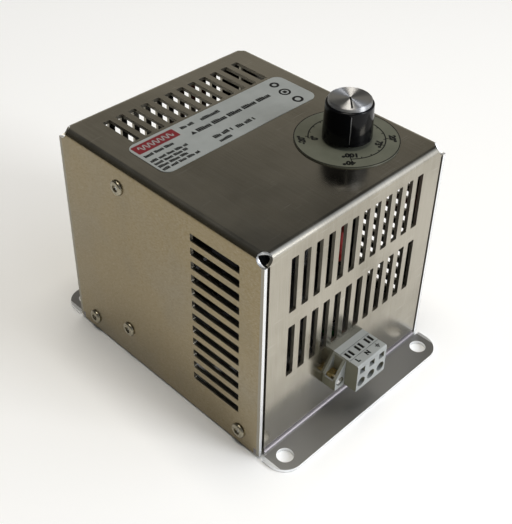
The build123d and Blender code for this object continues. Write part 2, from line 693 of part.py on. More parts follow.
def wire_green():
    """From the last pole down to the ground screw."""
    x, y = GROUND
    points = [(POLE_X[2], -58.0, WIRE_Z), (POLE_X[2], -44.0, WIRE_Z),
              (x - 8.0, y - 6.0, 3.6), (x - 5.0, y, 3.6)]
    return wire(points, [8, 3])


def grommet(side):
    """Rubber ring round a wire where it passes the bulkhead."""
    x, z = side * GROMMET_X, GROMMET_Z[side]
    shape = rod((x, FAN_BACK, z), (x, BULKHEAD_BACK, z), 2.6)
    shape += rod((x, FAN_BACK - 1.2, z), (x, FAN_BACK, z), 3.7)
    shape += rod((x, BULKHEAD_BACK, z), (x, BULKHEAD_BACK + 1.2, z), 3.7)
    return shape - rod((x, 20, z), (x, 35, z), WIRE)


def ground_lug():
    """Ring lug on the ground wire's end."""
    x, y = GROUND
    floor = SIDE_BOTTOM + INNER_SHEET
    lug = ring((x, y, floor), (x, y, floor + 0.8), 4.0, 2.0)
    return lug + block((x - 7.5, x - 3.5), (y - 1.5, y + 1.5), (floor, floor + 0.4))


def ground_screw():
    """Screw and nut that bond the ground lug to the floor."""
    x, y = GROUND
    floor = SIDE_BOTTOM + INNER_SHEET
    screw = rod((x, y, 0.3), (x, y, floor + 5.5), 2.0)
    return screw + hexagon((x, y, floor + 0.8), (x, y, floor + 3.6), 7.0)


# Write every node

def export_housing():
    save("housing_cover", housing_cover())
    save("base_plate", base_plate())
    save("fan_bulkhead", fan_bulkhead())
    rivets = [blind_rivet(side, y, z) for side in SIDES for y, z in RIVETS]
    save("rivet_bodies", all_of(body for body, stub in rivets))
    save("rivet_mandrels", all_of(stub for body, stub in rivets))
    save("rating_label", rating_label())


def export_thermostat():
    save("dial_plate", dial_plate())
    save("thermostat_bracket", thermostat_bracket())
    save("thermostat_housing", thermostat_housing())
    save("thermostat_base", thermostat_base())
    save("thermostat_bushing", thermostat_bushing())
    save("thermostat_nut", thermostat_nut())
    save("thermostat_spindle", thermostat_spindle())
    save("thermostat_plunger", thermostat_plunger())
    save("thermostat_bimetal", thermostat_bimetal())
    tab_z = (THERMOSTAT_TAB_END, THERMOSTAT_BOTTOM)
    save("thermostat_tabs", all_of(tab(THERMOSTAT_TAB_X, y, tab_z) for y in THERMOSTAT_TAB_Y))


def export_knob():
    save("knob_body", knob_body())
    save("knob_cap", knob_cap())
    save("knob_pointer", knob_pointer())
    save("knob_set_screw", knob_set_screw())


def export_terminal_block():
    save("terminal_block_body", terminal_block_body())
    save("terminal_clamps", all_of(terminal_clamp(x) for x in POLE_X))
    save("terminal_block_screws", all_of(ear_screw(side) for side in SIDES))
    save("terminal_block_nuts", all_of(ear_nut(side) for side in SIDES))


def export_fan():
    corners = [(side, level) for side in SIDES for level in SIDES]
    save("fan_frame", fan_frame())
    save("fan_bearings", all_of(fan_bearing(y) for y in (9.0, 20.0)))
    save("fan_stator", fan_stator())
    save("fan_windings", all_of(fan_winding(y) for y in (9.1, 20.0)))
    save("fan_impeller", fan_impeller())
    save("fan_magnet", ring((0, 10.0, FAN_Z), (0, 21.0, FAN_Z), HUB_BORE, 13.2))
    save("fan_shaft", rod((0, 5.5, FAN_Z), (0, 23.2, FAN_Z), FAN_SHAFT))
    save("fan_screws", all_of(fan_screw(*corner) for corner in corners))
    save("fan_nuts", all_of(fan_nut(*corner) for corner in corners))


def export_heater():
    half = HEATER_TUBE / 2
    rows = zip(HEATER_TUBE_Z[:-1], HEATER_TUBE_Z[1:])
    save("heater_tubes", all_of(heater_tube(z) for z in HEATER_TUBE_Z))
    save("heater_fins", all_of(heater_fin_row(low + half, high - half) for low, high in rows))
    save("heater_end_blocks", all_of(heater_end_block(side) for side in SIDES))
    save("heater_brackets", all_of(heater_bracket(side) for side in SIDES))
    save("heater_screws", all_of(heater_screw(side, level) for side in SIDES for level in SIDES))
    tab_z = (END_BLOCK_TOP, HEATER_TAB_TOP)
    save("heater_tabs", all_of(tab(side * TAB_X, HEATER_MID_Y, tab_z) for side in SIDES))


def export_wiring():
    sleeves = []
    for y in THERMOSTAT_TAB_Y:
        sleeve = push_on_connector(THERMOSTAT_TAB_X, y, (68.0, 77.5))
        sleeves.append(sleeve - tab(THERMOSTAT_TAB_X, y, (THERMOSTAT_TAB_END, THERMOSTAT_BOTTOM)))
    for side in SIDES:
        sleeve = push_on_connector(side * TAB_X, HEATER_MID_Y, (73.0, 81.0))
        sleeves.append(sleeve - tab(side * TAB_X, HEATER_MID_Y, (END_BLOCK_TOP, HEATER_TAB_TOP)))
    save("push_on_connectors", all_of(sleeves))
    save("wire_red", wire_red())
    save("wire_white", wire_white())
    save("wire_black", wire_black())
    save("wire_green", wire_green())
    save("grommets", all_of(grommet(side) for side in SIDES))
    save("ground_lug", ground_lug())
    save("ground_screw", ground_screw())


export_housing()
export_thermostat()
export_knob()
export_terminal_block()
export_fan()
export_heater()
export_wiring()
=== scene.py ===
import json
import math

import bmesh
import bpy
from mathutils import Matrix, Vector


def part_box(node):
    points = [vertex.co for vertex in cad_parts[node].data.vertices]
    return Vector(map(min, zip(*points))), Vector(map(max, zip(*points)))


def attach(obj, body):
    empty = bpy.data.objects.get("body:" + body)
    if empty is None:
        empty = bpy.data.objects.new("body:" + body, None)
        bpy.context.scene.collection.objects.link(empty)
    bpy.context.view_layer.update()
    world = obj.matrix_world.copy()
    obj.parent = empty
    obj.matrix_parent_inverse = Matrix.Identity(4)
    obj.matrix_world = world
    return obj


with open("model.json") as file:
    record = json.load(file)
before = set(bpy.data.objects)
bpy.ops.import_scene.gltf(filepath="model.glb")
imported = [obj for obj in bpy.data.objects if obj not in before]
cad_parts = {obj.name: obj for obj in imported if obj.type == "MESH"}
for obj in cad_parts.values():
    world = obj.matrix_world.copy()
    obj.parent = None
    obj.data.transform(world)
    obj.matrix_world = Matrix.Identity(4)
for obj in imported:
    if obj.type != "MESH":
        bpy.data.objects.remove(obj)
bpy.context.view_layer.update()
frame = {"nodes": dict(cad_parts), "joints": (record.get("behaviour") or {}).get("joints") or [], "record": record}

MM = 0.001


# ---------------------------------------------------------------- shader helpers

def start_material(name):
    """An empty material with its tree and its shader."""
    material = bpy.data.materials.new(name)
    material.use_nodes = True
    tree = material.node_tree
    return material, tree, tree.nodes["Principled BSDF"]


def add(tree, kind, inputs=(), **settings):
    """A node of this kind, with its settings and its unlinked or linked inputs."""
    made = tree.nodes.new(kind)
    for key, value in settings.items():
        setattr(made, key, value)
    for key, value in dict(inputs).items():
        if isinstance(value, bpy.types.NodeSocket):
            tree.links.new(value, made.inputs[key])
        else:
            made.inputs[key].default_value = value
    return made


def part_coords(tree, stretch=(1.0, 1.0, 1.0)):
    """The piece's own coordinates in metres, scaled along each axis."""
    coords = add(tree, "ShaderNodeTexCoord")
    scaled = add(tree, "ShaderNodeMapping", {"Vector": coords.outputs["Object"], "Scale": stretch})
    return scaled.outputs["Vector"]


def noise(tree, vector, scale, detail=3.0, roughness=0.5):
    """A smooth noise between 0 and 1."""
    made = add(tree, "ShaderNodeTexNoise", {
        "Vector": vector, "Scale": scale, "Detail": detail, "Roughness": roughness})
    return made.outputs["Fac"]


def spread(tree, value, low, high, to_low=0.0, to_high=1.0):
    """Maps low..high to to_low..to_high and clamps it."""
    made = add(tree, "ShaderNodeMapRange", {
        "Value": value, "From Min": low, "From Max": high, "To Min": to_low, "To Max": to_high})
    return made.outputs["Result"]


def blend_colours(tree, factor, first, second, mode="MIX"):
    """Mixes two colours, each of them a plain one or a socket."""
    made = add(tree, "ShaderNodeMix", data_type="RGBA", blend_type=mode)
    for socket, value in ((0, factor), (6, first), (7, second)):
        if isinstance(value, bpy.types.NodeSocket):
            tree.links.new(value, made.inputs[socket])
        elif socket == 0:
            made.inputs[socket].default_value = value
        else:
            made.inputs[socket].default_value = (*value, 1.0)
    return made.outputs[2]


def set_bump(tree, shader, height, strength, distance):
    """Gives the shader a bump from this height."""
    made = add(tree, "ShaderNodeBump", {"Height": height, "Strength": strength, "Distance": distance})
    tree.links.new(made.outputs["Normal"], shader.inputs["Normal"])


def between(tree, value, low, high):
    """1 where the value lies between two limits, else 0."""
    above = add(tree, "ShaderNodeMath", {0: value, 1: low}, operation="GREATER_THAN").outputs[0]
    below = add(tree, "ShaderNodeMath", {0: value, 1: high}, operation="LESS_THAN").outputs[0]
    return add(tree, "ShaderNodeMath", {0: above, 1: below}, operation="MULTIPLY").outputs[0]


def both(tree, first, second):
    """The product of two masks."""
    return add(tree, "ShaderNodeMath", {0: first, 1: second}, operation="MULTIPLY").outputs[0]


def size_of(tree, value):
    """The value without its sign."""
    return add(tree, "ShaderNodeMath", {0: value}, operation="ABSOLUTE").outputs[0]


def surface_direction(tree):
    """The way the surface faces, split into its three parts."""
    return add(tree, "ShaderNodeSeparateXYZ", {"Vector": add(tree, "ShaderNodeTexCoord").outputs["Normal"]})


# ---------------------------------------------------------------- materials

SHEET = 1.5 * MM
COVER_HALF_X = 50.8 * MM
COVER_HALF_Y = 57.15 * MM
COVER_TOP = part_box("rating_label")[0].z
COVER_FRONT = (0.4, 0.37, 0.305)
# Painted shade: the darker, browner tone given to the cover's side-facing faces.
COVER_SIDE_SHADE = (0.23, 0.18, 0.092)
COVER_DARK = (0.2, 0.18, 0.135)
FAR = 1.0

knob_centre = Vector(frame["joints"][0]["pos_m"])


def cut_edges(tree, place, facing):
    """Masks for the cover: cut panel ends and foot outlines, slot walls, faces inside the box, and feet."""
    half_x, half_y, top = COVER_HALF_X, COVER_HALF_Y, COVER_TOP
    margin = 0.05 * MM
    corner = 6.0 * MM
    foot_start = 0.2 * MM
    foot_bend = 3.0 * MM
    foot_height = 4.0 * MM
    edge_on = 0.5
    away_x = size_of(tree, place.outputs["X"])
    away_y = size_of(tree, place.outputs["Y"])
    across = {}
    for axis in "XYZ":
        across[axis] = add(tree, "ShaderNodeMath", {
            0: size_of(tree, facing.outputs[axis]), 1: edge_on}, operation="LESS_THAN").outputs[0]
    wall_x = both(tree, across["X"], between(tree, away_x, half_x - SHEET + margin, half_x - margin))
    wall_y = both(tree, across["Y"], between(tree, away_y, half_y - SHEET + margin, half_y - margin))
    wall_z = both(tree, across["Z"], between(tree, place.outputs["Z"], top - SHEET + margin, top - margin))
    near_x = between(tree, away_x, half_x - corner, FAR)
    near_y = between(tree, away_y, half_y - corner, FAR)
    outline = both(tree, both(tree, across["Z"], between(tree, place.outputs["Z"], margin, SHEET - margin)),
                   between(tree, away_y, half_y + foot_start, FAR))
    ends = outline
    for mask in (both(tree, wall_x, near_y), both(tree, wall_z, both(tree, near_x, near_y))):
        ends = add(tree, "ShaderNodeMath", {0: ends, 1: mask}, operation="MAXIMUM").outputs[0]
    walls = wall_x
    for mask in (wall_y, wall_z):
        walls = add(tree, "ShaderNodeMath", {0: walls, 1: mask}, operation="MAXIMUM").outputs[0]
    inside = both(tree, between(tree, away_x, -FAR, half_x - SHEET + margin),
                  between(tree, away_y, -FAR, half_y - SHEET + margin))
    inside = both(tree, inside, between(tree, place.outputs["Z"], -FAR, top - SHEET + margin))
    foot = both(tree, between(tree, away_y, half_y - foot_bend, FAR),
                between(tree, place.outputs["Z"], -FAR, foot_height))
    return ends, walls, inside, foot


def sheet_metal(name, front, side, dark, rough=(0.13, 0.27), sheared=False):
    """Aluminium sheet with rolling grain, stains, smears and scratches, painted shade on its side-facing faces,
    and cut edges where sheared, with painted highlight and painted shade there.
    """
    material, tree, shader = start_material(name)
    plain = part_coords(tree)
    place = add(tree, "ShaderNodeSeparateXYZ", {"Vector": plain})
    facing = surface_direction(tree)
    # Painted shade: faces turned along X take the darker side tone in place of the front tone.
    sideways = spread(tree, size_of(tree, facing.outputs["X"]), 0.4, 0.9)
    tone = blend_colours(tree, sideways, front, side)
    clouds = noise(tree, plain, 22.0, 3.0, 0.5)
    tone = blend_colours(tree, spread(tree, clouds, 0.45, 0.75, 0.0, 0.6), tone, dark)
    lengthwise = noise(tree, part_coords(tree, (1.0, 0.02, 0.02)), 2800.0, 2.0)
    level = noise(tree, part_coords(tree, (1.0, 0.35, 1.0)), 2200.0, 3.0)
    grain = add(tree, "ShaderNodeMix", {0: sideways, 2: lengthwise, 3: level}).outputs[0]
    tone = blend_colours(tree, spread(tree, grain, 0.3, 0.7, 0.0, 0.09), tone, (0.9, 0.88, 0.84))
    scratches = noise(tree, part_coords(tree, (0.05, 1.0, 1.0)), 1500.0, 1.0)
    scratched = spread(tree, scratches, 0.7, 0.78, 0.0, 0.22)
    tone = blend_colours(tree, scratched, tone, (0.85, 0.84, 0.8))
    smears = noise(tree, part_coords(tree, (1.0, 1.0, 0.55)), 42.0, 3.0, 0.55)
    tone = blend_colours(tree, spread(tree, smears, 0.55, 0.75, 0.0, 0.35), tone, dark)
    gloss = spread(tree, smears, 0.3, 0.7, rough[0], rough[1])
    if sheared:
        ends, walls, inside, foot = cut_edges(tree, place, facing)
        # Painted shade: the foot flange gets its own darker, greyer tone than the rest of the sheet.
        tone = blend_colours(tree, foot, tone, (0.3, 0.295, 0.285))
        # Painted shade: the bend where the foot turns up is painted darker still.
        bend_shade = both(tree, foot, between(tree, place.outputs["Z"], SHEET + 0.1 * MM, FAR))
        tone = blend_colours(tree, bend_shade, tone, (0.2, 0.185, 0.19))
        # Painted shade: the faces inside the box are painted very dark.
        tone = blend_colours(tree, inside, tone, (0.1, 0.095, 0.085))
        tone = blend_colours(tree, walls, tone, (0.3, 0.28, 0.23))
        # Painted highlight: the cut panel ends near the corners and the foot outline are painted near-white, on
        # top of the pale cut metal.
        tone = blend_colours(tree, ends, tone, (0.86, 0.87, 0.88))
        rougher = add(tree, "ShaderNodeMath", {0: walls, 1: foot}, operation="MAXIMUM").outputs[0]
        gloss = add(tree, "ShaderNodeMix", {0: rougher, 2: gloss, 3: 0.42}).outputs[0]
    tree.links.new(tone, shader.inputs["Base Color"])
    tree.links.new(gloss, shader.inputs["Roughness"])
    shader.inputs["Metallic"].default_value = 1.0
    set_bump(tree, shader, grain, 0.18, 0.02 * MM)
    return material


def worked_metal(name, light, dark, rough, scale=900.0, bump=0.15):
    """Turned, plated or cast metal: a fine two-tone noise and uneven polish."""
    material, tree, shader = start_material(name)
    fine = noise(tree, part_coords(tree), scale, 4.0, 0.6)
    broad = noise(tree, part_coords(tree), scale / 8.0, 3.0)
    tone = blend_colours(tree, spread(tree, fine, 0.3, 0.7), light, dark)
    tree.links.new(tone, shader.inputs["Base Color"])
    tree.links.new(spread(tree, broad, 0.3, 0.7, rough[0], rough[1]), shader.inputs["Roughness"])
    shader.inputs["Metallic"].default_value = 1.0
    set_bump(tree, shader, fine, bump, 0.03 * MM)
    return material


def ringed_metal(name, light, dark, rough, axis, spacing):
    """Metal with fine ridges across one axis: stacked sheets, wire turns or a turned face."""
    material, tree, shader = start_material(name)
    waves = add(tree, "ShaderNodeTexWave", {
        "Vector": part_coords(tree), "Scale": 1.0 / spacing / 3.2, "Distortion": 0.6, "Detail": 2.0},
        bands_direction=axis).outputs["Fac"]
    tree.links.new(blend_colours(tree, waves, dark, light), shader.inputs["Base Color"])
    tree.links.new(spread(tree, waves, 0.0, 1.0, rough[1], rough[0]), shader.inputs["Roughness"])
    shader.inputs["Metallic"].default_value = 1.0
    set_bump(tree, shader, waves, 0.5, 0.1 * MM)
    return material


def spun_metal(name, light, dark, centre):
    """A turned aluminium face whose fine rings draw the light out into wedges."""
    material, tree, shader = start_material(name)
    moved = add(tree, "ShaderNodeVectorMath", {
        0: part_coords(tree), 1: (-centre.x, -centre.y, 0.0)}, operation="ADD").outputs[0]
    flat = add(tree, "ShaderNodeVectorMath", {
        0: moved, 1: (1.0, 1.0, 0.0)}, operation="MULTIPLY").outputs[0]
    reach = add(tree, "ShaderNodeVectorMath", {0: flat}, operation="LENGTH").outputs["Value"]
    rings = add(tree, "ShaderNodeTexNoise", {
        "W": add(tree, "ShaderNodeMath", {0: reach, 1: 9000.0}, operation="MULTIPLY").outputs[0],
        "Scale": 1.0, "Detail": 2.0}, noise_dimensions="1D").outputs["Fac"]
    tone = blend_colours(tree, spread(tree, rings, 0.3, 0.7), dark, light)
    tree.links.new(tone, shader.inputs["Base Color"])
    shader.inputs["Metallic"].default_value = 1.0
    tree.links.new(spread(tree, rings, 0.3, 0.7, 0.38, 0.44), shader.inputs["Roughness"])
    shader.inputs["Anisotropic"].default_value = 1.0
    shader.inputs["Anisotropic Rotation"].default_value = 0.25
    tangent = add(tree, "ShaderNodeTangent", direction_type="RADIAL", axis="Z").outputs[0]
    tree.links.new(tangent, shader.inputs["Tangent"])
    set_bump(tree, shader, rings, 0.2, 0.02 * MM)
    return material


def moulded(name, light, dark, rough, grain=1400.0, bump=0.2, shine=0.5):
    """Moulded plastic, rubber or ceramic: slight mottling, a fine skin texture and uneven gloss."""
    material, tree, shader = start_material(name)
    broad = noise(tree, part_coords(tree), grain / 12.0, 4.0, 0.55)
    fine = noise(tree, part_coords(tree), grain, 3.0)
    tone = blend_colours(tree, spread(tree, broad, 0.35, 0.65), light, dark)
    tree.links.new(tone, shader.inputs["Base Color"])
    tree.links.new(spread(tree, broad, 0.3, 0.7, rough[0], rough[1]), shader.inputs["Roughness"])
    shader.inputs["Specular IOR Level"].default_value = shine
    set_bump(tree, shader, fine, bump, 0.02 * MM)
    return material


def block_plastic(name):
    """Pale grey moulding, with painted shade that makes its cheeks (faces turned along X) darker and olive."""
    material, tree, shader = start_material(name)
    mottle = noise(tree, part_coords(tree), 120.0, 4.0, 0.55)
    tone = blend_colours(tree, spread(tree, mottle, 0.35, 0.65), (0.3, 0.315, 0.305), (0.265, 0.278, 0.27))
    # Painted shade: faces turned along X blend to a darker olive tone.
    facing = surface_direction(tree)
    cheek_shade = spread(tree, size_of(tree, facing.outputs["X"]), 0.6, 0.95)
    tone = blend_colours(tree, cheek_shade, tone, (0.2, 0.195, 0.14))
    tree.links.new(tone, shader.inputs["Base Color"])
    tree.links.new(spread(tree, mottle, 0.3, 0.7, 0.38, 0.5), shader.inputs["Roughness"])
    shader.inputs["Specular IOR Level"].default_value = 0.4
    set_bump(tree, shader, noise(tree, part_coords(tree), 1400.0, 3.0), 0.12, 0.02 * MM)
    return material


finishes = {
    "cover_aluminium": sheet_metal("cover_aluminium", COVER_FRONT, COVER_SIDE_SHADE, COVER_DARK, sheared=True),
    "inner_sheet": sheet_metal("inner_sheet", (0.5, 0.5, 0.48), (0.42, 0.42, 0.4),
                               (0.25, 0.25, 0.24), (0.3, 0.5)),
    "rivet_aluminium": worked_metal("rivet_aluminium", (0.4, 0.365, 0.28), (0.26, 0.235, 0.17), (0.24, 0.42)),
    "zinc_steel": worked_metal("zinc_steel", (0.72, 0.72, 0.7), (0.5, 0.5, 0.48), (0.18, 0.36)),
    "label_film": moulded("label_film", (0.27, 0.285, 0.278), (0.24, 0.255, 0.248), (0.32, 0.44), bump=0.05),
    "dial_film": moulded("dial_film", (0.105, 0.108, 0.082), (0.088, 0.092, 0.069), (0.3, 0.4),
                          bump=0.05, shine=0.3),
    "dark_phenolic": moulded("dark_phenolic", (0.04, 0.035, 0.03), (0.02, 0.018, 0.016), (0.35, 0.5)),
    "brass_parts": worked_metal("brass_parts", (0.75, 0.58, 0.27), (0.5, 0.36, 0.14), (0.2, 0.38)),
    "steatite": moulded("steatite", (0.72, 0.69, 0.62), (0.6, 0.57, 0.5), (0.5, 0.7)),
    "knob_black": moulded("knob_black", (0.0025, 0.0025, 0.003), (0.0015, 0.0015, 0.002), (0.1, 0.15),
                          bump=0.03, shine=0.16),
    "cap_aluminium": spun_metal("cap_aluminium", (0.6, 0.6, 0.6), (0.28, 0.28, 0.285), knob_centre),
    "pointer_black": moulded("pointer_black", (0.004, 0.004, 0.004), (0.007, 0.007, 0.007), (0.4, 0.5),
                             bump=0.05, shine=0.12),
    "black_steel": worked_metal("black_steel", (0.09, 0.09, 0.09), (0.04, 0.04, 0.04), (0.3, 0.5)),
    "block_grey": block_plastic("block_grey"),
    "fan_black": moulded("fan_black", (0.018, 0.018, 0.019), (0.01, 0.01, 0.011), (0.4, 0.55)),
    "bronze": worked_metal("bronze", (0.5, 0.34, 0.18), (0.3, 0.2, 0.1), (0.35, 0.5)),
    "stator_iron": ringed_metal("stator_iron", (0.36, 0.36, 0.37), (0.14, 0.14, 0.15), (0.3, 0.5),
                                "Y", 0.5 * MM),
    "copper": ringed_metal("copper", (0.75, 0.36, 0.16), (0.4, 0.15, 0.06), (0.25, 0.4), "Y", 0.5 * MM),
    "ferrite": moulded("ferrite", (0.06, 0.06, 0.062), (0.035, 0.035, 0.037), (0.45, 0.6)),
    "heater_aluminium": sheet_metal("heater_aluminium", (0.72, 0.72, 0.71), (0.66, 0.66, 0.65),
                                    (0.45, 0.45, 0.45), (0.25, 0.4)),
    "connector_clear": moulded("connector_clear", (0.45, 0.05, 0.04), (0.3, 0.03, 0.025), (0.25, 0.35)),
    "wire_red": moulded("wire_red", (0.5, 0.02, 0.018), (0.36, 0.012, 0.012), (0.28, 0.38)),
    "wire_white": moulded("wire_white", (0.74, 0.73, 0.7), (0.62, 0.61, 0.58), (0.28, 0.38)),
    "wire_black": moulded("wire_black", (0.014, 0.014, 0.014), (0.008, 0.008, 0.008), (0.28, 0.38)),
    "wire_green": moulded("wire_green", (0.03, 0.26, 0.07), (0.02, 0.18, 0.045), (0.28, 0.38)),
    "grommet_rubber": moulded("grommet_rubber", (0.022, 0.022, 0.022), (0.012, 0.012, 0.012), (0.5, 0.65)),
}

node_slots = {}
for part in frame["record"]["subparts"]:
    node_slots[part["node"]] = part["material_slot"]
for node_name, node_object in frame["nodes"].items():
    node_object.data.materials.clear()
    node_object.data.materials.append(finishes[node_slots[node_name]])


# ---------------------------------------------------------------- flat printing

PRINT = 0.03 * MM


def raise_shape(mesh, outline, low, high):
    """Adds a closed prism with this flat outline between two heights."""
    bottom = [mesh.verts.new((x, y, low)) for x, y in outline]
    top = [mesh.verts.new((x, y, high)) for x, y in outline]
    mesh.faces.new(list(reversed(bottom)))
    mesh.faces.new(top)
    count = len(outline)
    for index in range(count):
        after = (index + 1) % count
        mesh.faces.new((bottom[index], bottom[after], top[after], top[index]))


def raise_bar(mesh, start, end, width, low, high):
    """A straight printed stroke from start to end."""
    start = Vector(start)
    end = Vector(end)
    across = (end - start).normalized().orthogonal() * (width / 2)
    raise_shape(mesh, (start - across, end - across, end + across, start + across), low, high)


def raise_arc(mesh, centre, radius, first, last, width, low, high, steps=96):
    """A printed arc between two angles in degrees, or a whole ring when they are 360 apart."""
    whole = abs(last - first) >= 359.9
    rows = []
    for index in range(steps if whole else steps + 1):
        angle = math.radians(first + (last - first) * index / steps)
        ray = Vector((math.cos(angle), math.sin(angle)))
        row = []
        for reach, height in ((radius - width / 2, low), (radius + width / 2, low),
                              (radius + width / 2, high), (radius - width / 2, high)):
            spot = centre + ray * reach
            row.append(mesh.verts.new((spot.x, spot.y, height)))
        rows.append(row)
    for index in range(len(rows) if whole else len(rows) - 1):
        here = rows[index]
        there = rows[(index + 1) % len(rows)]
        for side in range(4):
            after = (side + 1) % 4
            mesh.faces.new((here[side], here[after], there[after], there[side]))
    if not whole:
        mesh.faces.new(list(reversed(rows[0])))
        mesh.faces.new(rows[-1])


def raise_text(mesh, words, size, spot, turn, low, high):
    """Printed figures centred on a spot, turned by an angle in degrees."""
    curve = bpy.data.curves.new("figures", "FONT")
    curve.body = words
    curve.size = size
    curve.align_x = "CENTER"
    curve.align_y = "CENTER"
    curve.extrude = (high - low) / 2
    curve.offset = 0.065 * size
    curve.resolution_u = 3
    holder = bpy.data.objects.new("figures", curve)
    bpy.context.scene.collection.objects.link(holder)
    bpy.context.view_layer.update()
    flat = bpy.data.meshes.new_from_object(holder)
    middle = Matrix.Translation((spot[0], spot[1], (low + high) / 2))
    flat.transform(middle @ Matrix.Rotation(math.radians(turn), 4, "Z"))
    mesh.from_mesh(flat)
    bpy.data.objects.remove(holder)
    bpy.data.curves.remove(curve)
    bpy.data.meshes.remove(flat)


def finish_piece(name, mesh, finish, body):
    """Turns a mesh into a flat-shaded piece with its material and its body."""
    bmesh.ops.recalc_face_normals(mesh, faces=mesh.faces)
    data = bpy.data.meshes.new(name)
    mesh.to_mesh(data)
    mesh.free()
    for face in data.polygons:
        face.use_smooth = False
    data.materials.append(finish)
    piece = bpy.data.objects.new(name, data)
    bpy.context.scene.collection.objects.link(piece)
    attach(piece, body)


# ---------------------------------------------------------------- dial scales

SCALE_FIRST = 138.0
SCALE_LAST = -134.0
POINTER_ANGLE = -135.0
FIGURE_SIZE = 3.5 * MM
TICK_WIDTH = 0.42 * MM


def polar(centre, radius, angle):
    """The point at this radius and angle in degrees."""
    return centre + Vector((math.cos(math.radians(angle)), math.sin(math.radians(angle)))) * radius


def make_dial_print_and_rim_shade():
    """The dial's edge line, a black ring of painted shade round the rim, its arc with ticks, and the two rows of
    figures.
    """
    mesh = bmesh.new()
    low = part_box("dial_plate")[1].z
    high = low + PRINT
    centre = knob_centre.to_2d()
    arc = 15.2 * MM
    line = 0.5 * MM
    inner_steps = 16
    outer_limit = 134.0
    outer_last = 133.5
    # Painted shade: a black ring at the dial's rim, where the plate's edge looks dark.
    raise_arc(mesh, centre, 20.8 * MM, 0.0, 360.0, 0.36 * MM, low, high)
    raise_arc(mesh, centre, arc, SCALE_FIRST, SCALE_LAST, line, low, high)
    inner_figures = ("0", "25", "50", "75", "100")
    for index, figures in enumerate(inner_figures):
        angle = SCALE_FIRST + (SCALE_LAST - SCALE_FIRST) * index / 4
        spot = polar(centre, 12.6 * MM, angle)
        raise_text(mesh, figures + "°", FIGURE_SIZE, spot, angle - 90.0, low, high)
    for index in range(inner_steps + 1):
        angle = SCALE_FIRST + (SCALE_LAST - SCALE_FIRST) * index / inner_steps
        reach = 1.2 * MM if index % 4 == 0 else 0.7 * MM
        inner = polar(centre, arc - line / 2 - reach, angle)
        outer = polar(centre, arc - line / 2, angle)
        raise_bar(mesh, inner, outer, TICK_WIDTH, low, high)
    for figures, angle in (("-20", 142.0), ("0", 50.5), ("20", -46.5), ("40", -137.0)):
        spot = polar(centre, 17.8 * MM, angle)
        raise_text(mesh, figures + "°", FIGURE_SIZE, spot, angle - 90.0, low, high)
        tick = angle if abs(angle) < outer_limit else math.copysign(outer_last, angle)
        inner = polar(centre, arc + line / 2, tick)
        outer = polar(centre, arc + line / 2 + 0.9 * MM, tick)
        raise_bar(mesh, inner, outer, TICK_WIDTH, low, high)
    finish_piece("dial_print_and_rim_shade", mesh, finishes["pointer_black"], "housing")


make_dial_print_and_rim_shade()


def make_knob_line():
    """A grey line in the groove down the side of the knob, below its pointer: a painted highlight on the groove,
    drawn as an indicator line.
    """
    mesh = bmesh.new()
    low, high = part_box("knob_body")
    ray = polar(Vector((0.0, 0.0)), 1.0, POINTER_ANGLE)
    centre = knob_centre.to_2d()
    start = centre + ray * (9.2 * MM)
    end = centre + ray * (9.42 * MM)
    raise_bar(mesh, start, end, 0.4 * MM, low.z + 1.0 * MM, high.z - 1.5 * MM)
    finish_piece("knob_line_highlight", mesh, line_highlight_grey, "knob")


# Painted highlight: the mid-grey of the knob's groove line stands for light caught by the groove.
line_highlight_grey = moulded("line_highlight_grey", (0.2, 0.2, 0.2), (0.14, 0.14, 0.14), (0.35, 0.45), bump=0.05)
make_knob_line()


# ---------------------------------------------------------------- rating label

label_red = moulded("label_red", (0.15, 0.004, 0.009), (0.12, 0.003, 0.008), (0.32, 0.42), bump=0.05)
label_ink = moulded("label_ink", (0.004, 0.004, 0.004), (0.007, 0.007, 0.007), (0.4, 0.5),
                    bump=0.05, shine=0.12)

STROKE_HEIGHTS = (1.2, 0.95, 1.2, 1.0, 0.9, 1.2, 0.95, 1.1)


def greek_line(mesh, start, end, y, tall, low, high, pitch, words):
    """A row of plain strokes of uneven height in groups, in place of a printed line."""
    count = int((end - start) / pitch)
    for index in range(count):
        if index % words == words - 1:
            continue
        reach = STROKE_HEIGHTS[(index * 5 + words) % len(STROKE_HEIGHTS)] * tall
        x = start + pitch * (index + 0.5)
        raise_bar(mesh, (x, y - tall / 2), (x, y - tall / 2 + reach), pitch * 0.84, low, high)


def wave_line(mesh, start, end, y, rise, low, high, steps=64):
    """A plain wavy line with an even swing."""
    swings = 7.0
    spots = []
    for index in range(steps + 1):
        share = index / steps
        height = rise * math.sin(share * swings * math.tau)
        spots.append(Vector((start + (end - start) * share, y + height)))
    for here, there in zip(spots, spots[1:]):
        raise_bar(mesh, here, there, 0.5 * MM, low, high)


def rounded_corners(left, right, front, back, radius):
    """The outline of a rectangle with rounded corners."""
    outline = []
    for x, y, turn in ((right - radius, back - radius, 0.0), (left + radius, back - radius, 90.0),
                       (left + radius, front + radius, 180.0), (right - radius, front + radius, 270.0)):
        for step in range(5):
            spot = polar(Vector((x, y)), radius, turn + step * 22.5)
            outline.append((spot.x, spot.y))
    return outline


